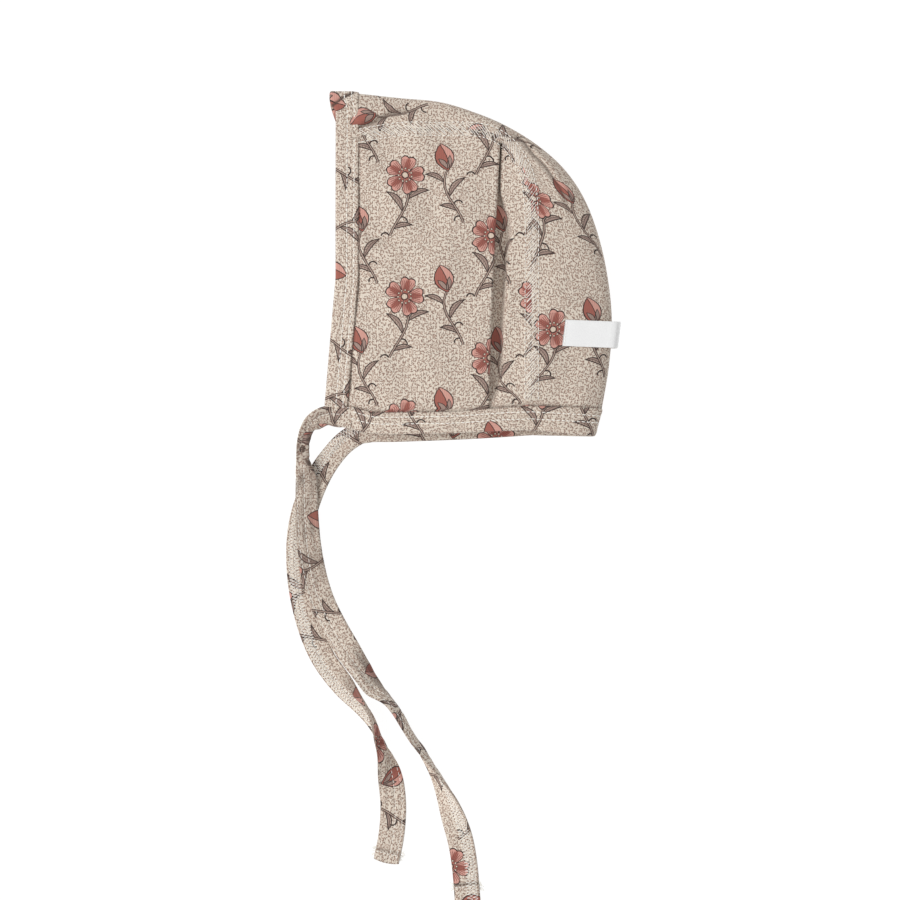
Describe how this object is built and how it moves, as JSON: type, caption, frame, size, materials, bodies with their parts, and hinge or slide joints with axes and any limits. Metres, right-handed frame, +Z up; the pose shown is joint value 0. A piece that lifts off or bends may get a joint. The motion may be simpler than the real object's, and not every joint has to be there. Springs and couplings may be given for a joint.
{
  "type": "baby bonnet",
  "caption": "Soft jersey baby bonnet lying on its side, with pleated side panels, a centre strip, bound edges and two long flat ties.",
  "frame": {"origin": "on the surface the bonnet lies on, under the middle of its box without the ties", "axes": "+X from the face opening to the back of the head, +Y from the neck to the crown, +Z up from the side it lies on"},
  "size_m": [0.1605, 0.3911, 0.0234],
  "materials": {
    "printed_jersey": "matt cotton jersey, cream with a taupe and rust floral print",
    "printed_binding": "folded matt cotton jersey binding with the same print, coverstitched",
    "satin_label": "white woven satin, bare"
  },
  "bodies": {
    "root": {"side_panel_near": "printed_jersey", "side_panel_far": "printed_jersey", "centre_strip": "printed_jersey", "face_band": "printed_binding", "neck_band": "printed_binding", "tie_near": "printed_binding", "tie_far": "printed_binding", "label": "satin_label"}
  },
  "joints": []
}
